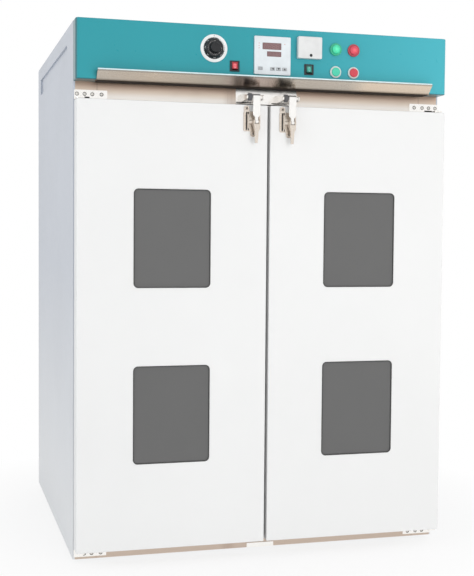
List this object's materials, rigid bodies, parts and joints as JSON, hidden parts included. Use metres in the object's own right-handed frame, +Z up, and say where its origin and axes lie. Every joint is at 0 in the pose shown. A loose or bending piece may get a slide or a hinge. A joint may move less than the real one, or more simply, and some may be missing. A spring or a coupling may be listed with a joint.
{
  "type": "drying oven",
  "caption": "Floor-standing forced-air drying oven cabinet with double windowed doors, lever latches and a control fascia above a stainless chamber.",
  "frame": {"origin": "middle of the oven's outline seen from above, on the floor under the levelling feet", "axes": "+Z up; the doors and the control fascia face -Y; +X is the viewer's right when facing the doors"},
  "size_m": [0.98, 0.983, 1.3744],
  "materials": {
    "door_enamel": "satin",
    "casing_enamel": "satin",
    "fascia_enamel": "satin",
    "stainless": "satin",
    "polished_trim": "gloss",
    "latch_chrome": "gloss",
    "zinc_plate": "satin",
    "mineral_wool": "matte",
    "window_glass": "gloss",
    "silicone_seal": "matte",
    "foot_rubber": "matte",
    "heater_steel": "matte",
    "motor_paint": "satin",
    "fan_aluminium": "satin",
    "white_plastic": "satin",
    "grey_plastic": "satin",
    "screen_plastic": "gloss",
    "black_plastic": "satin",
    "red_plastic": "gloss",
    "green_plastic": "gloss"
  },
  "bodies": {
    "cabinet": {"air_baffle": "stainless", "base_pan": "zinc_plate", "cable_gland": "black_plastic", "chamber_insulation": "mineral_wool", "circulation_motor": "motor_paint", "control_fascia": "fascia_enamel", "controller_housing": "white_plastic", "controller_window": "screen_plastic", "dial_plate": "white_plastic", "electrics": "grey_plastic", "exhaust_duct": "stainless", "fascia_trim": "polished_trim", "frame_screws": "stainless", "front_frame": "stainless", "green_lamp_lens": "green_plastic", "heating_elements": "heater_steel", "hinge_pins": "stainless", "hinge_plates": "stainless", "indicator_collars": "white_plastic", "inner_chamber": "stainless", "latch_keepers": "latch_chrome", "left_side_panel": "casing_enamel", "levelling_feet": "foot_rubber", "module_cover": "white_plastic", "rear_cover": "casing_enamel", "red_lamp_lens": "red_plastic", "right_side_panel": "casing_enamel", "rocker_bezels": "black_plastic", "shelf_rails": "stainless", "temperature_probe": "stainless", "top_cover": "casing_enamel", "wire_shelves": "stainless"},
    "left_door": {"left_door_skin": "door_enamel", "left_door_liner": "stainless", "left_door_insulation": "mineral_wool", "left_door_glass": "window_glass", "left_door_seals": "silicone_seal", "left_latch_base": "latch_chrome"},
    "right_door": {"right_door_skin": "door_enamel", "right_door_liner": "stainless", "right_door_insulation": "mineral_wool", "right_door_glass": "window_glass", "right_door_seals": "silicone_seal", "right_latch_base": "latch_chrome"},
    "left_latch_lever": {"left_latch_lever": "latch_chrome"},
    "left_latch_hook": {"left_latch_hook": "latch_chrome"},
    "right_latch_lever": {"right_latch_lever": "latch_chrome"},
    "right_latch_hook": {"right_latch_hook": "latch_chrome"},
    "temperature_knob": {"temperature_knob": "black_plastic"},
    "green_push_button": {"green_push_button": "green_plastic"},
    "red_push_button": {"red_push_button": "red_plastic"},
    "red_rocker": {"red_rocker": "red_plastic"},
    "green_rocker": {"green_rocker": "green_plastic"},
    "module_button": {"module_button": "black_plastic"},
    "fan_wheel": {"fan_wheel": "fan_aluminium"},
    "exhaust_damper": {"exhaust_damper": "stainless"},
    "controller_key_1": {"controller_key_1": "grey_plastic"},
    "controller_key_2": {"controller_key_2": "grey_plastic"},
    "controller_key_3": {"controller_key_3": "grey_plastic"},
    "controller_key_4": {"controller_key_4": "grey_plastic"}
  },
  "joints": [
    {"name": "left_door_swing", "type": "hinge", "parent": "cabinet", "child": "left_door", "pos_m": [-0.476, -0.4495, 0.5985], "axis": [0, 0, -1], "range_deg": [0, 120]},
    {"name": "right_door_swing", "type": "hinge", "parent": "cabinet", "child": "right_door", "pos_m": [0.476, -0.4495, 0.5985], "axis": [0, 0, 1], "range_deg": [0, 120]},
    {"name": "left_latch_lift", "type": "hinge", "parent": "left_door", "child": "left_latch_lever", "pos_m": [-0.0385, -0.4765, 1.114], "axis": [-1, 0, 0], "range_deg": [0, 90]},
    {"name": "left_hook_turn", "type": "hinge", "parent": "left_latch_lever", "child": "left_latch_hook", "pos_m": [-0.0385, -0.4865, 1.114], "axis": [-1, 0, 0], "range_deg": [-101.7, 0]},
    {"name": "right_latch_lift", "type": "hinge", "parent": "right_door", "child": "right_latch_lever", "pos_m": [0.0565, -0.4765, 1.114], "axis": [-1, 0, 0], "range_deg": [0, 90]},
    {"name": "right_hook_turn", "type": "hinge", "parent": "right_latch_lever", "child": "right_latch_hook", "pos_m": [0.0565, -0.4865, 1.114], "axis": [-1, 0, 0], "range_deg": [-101.7, 0]},
    {"name": "knob_turn", "type": "hinge", "parent": "cabinet", "child": "temperature_knob", "pos_m": [-0.146, -0.4675, 1.294], "axis": [0, 1, 0], "range_deg": [0, 270]},
    {"name": "red_rocker_tip", "type": "hinge", "parent": "cabinet", "child": "red_rocker", "pos_m": [-0.092, -0.4615, 1.2525], "axis": [1, 0, 0], "range_deg": [0, 16]},
    {"name": "green_rocker_tip", "type": "hinge", "parent": "cabinet", "child": "green_rocker", "pos_m": [0.105, -0.4615, 1.253], "axis": [1, 0, 0], "range_deg": [0, 16]},
    {"name": "green_button_press", "type": "slide", "parent": "cabinet", "child": "green_push_button", "axis": [0, 1, 0], "range_m": [0, 0.004], "stiffness_N_per_m": 500},
    {"name": "red_button_press", "type": "slide", "parent": "cabinet", "child": "red_push_button", "axis": [0, 1, 0], "range_m": [0, 0.004], "stiffness_N_per_m": 500},
    {"name": "controller_key_1_press", "type": "slide", "parent": "cabinet", "child": "controller_key_1", "axis": [0, 1, 0], "range_m": [0, 0.0008], "stiffness_N_per_m": 400},
    {"name": "controller_key_2_press", "type": "slide", "parent": "cabinet", "child": "controller_key_2", "axis": [0, 1, 0], "range_m": [0, 0.0008], "stiffness_N_per_m": 400},
    {"name": "controller_key_3_press", "type": "slide", "parent": "cabinet", "child": "controller_key_3", "axis": [0, 1, 0], "range_m": [0, 0.0008], "stiffness_N_per_m": 400},
    {"name": "controller_key_4_press", "type": "slide", "parent": "cabinet", "child": "controller_key_4", "axis": [0, 1, 0], "range_m": [0, 0.0008], "stiffness_N_per_m": 400},
    {"name": "module_button_press", "type": "slide", "parent": "cabinet", "child": "module_button", "axis": [0, 1, 0], "range_m": [0, 0.0015], "stiffness_N_per_m": 400},
    {"name": "fan_spin", "type": "hinge", "parent": "cabinet", "child": "fan_wheel", "pos_m": [0, 0.285, 0.572], "axis": [0, 1, 0], "continuous": true},
    {"name": "damper_turn", "type": "hinge", "parent": "cabinet", "child": "exhaust_damper", "pos_m": [0, 0.0505, 1.352], "axis": [0, 0, 1], "range_deg": [0, 30]}
  ],
  "couplings": [
    {"joint": "left_hook_turn", "follows": "left_latch_lift", "ratio": -1.13},
    {"joint": "right_hook_turn", "follows": "right_latch_lift", "ratio": -1.13}
  ]
}
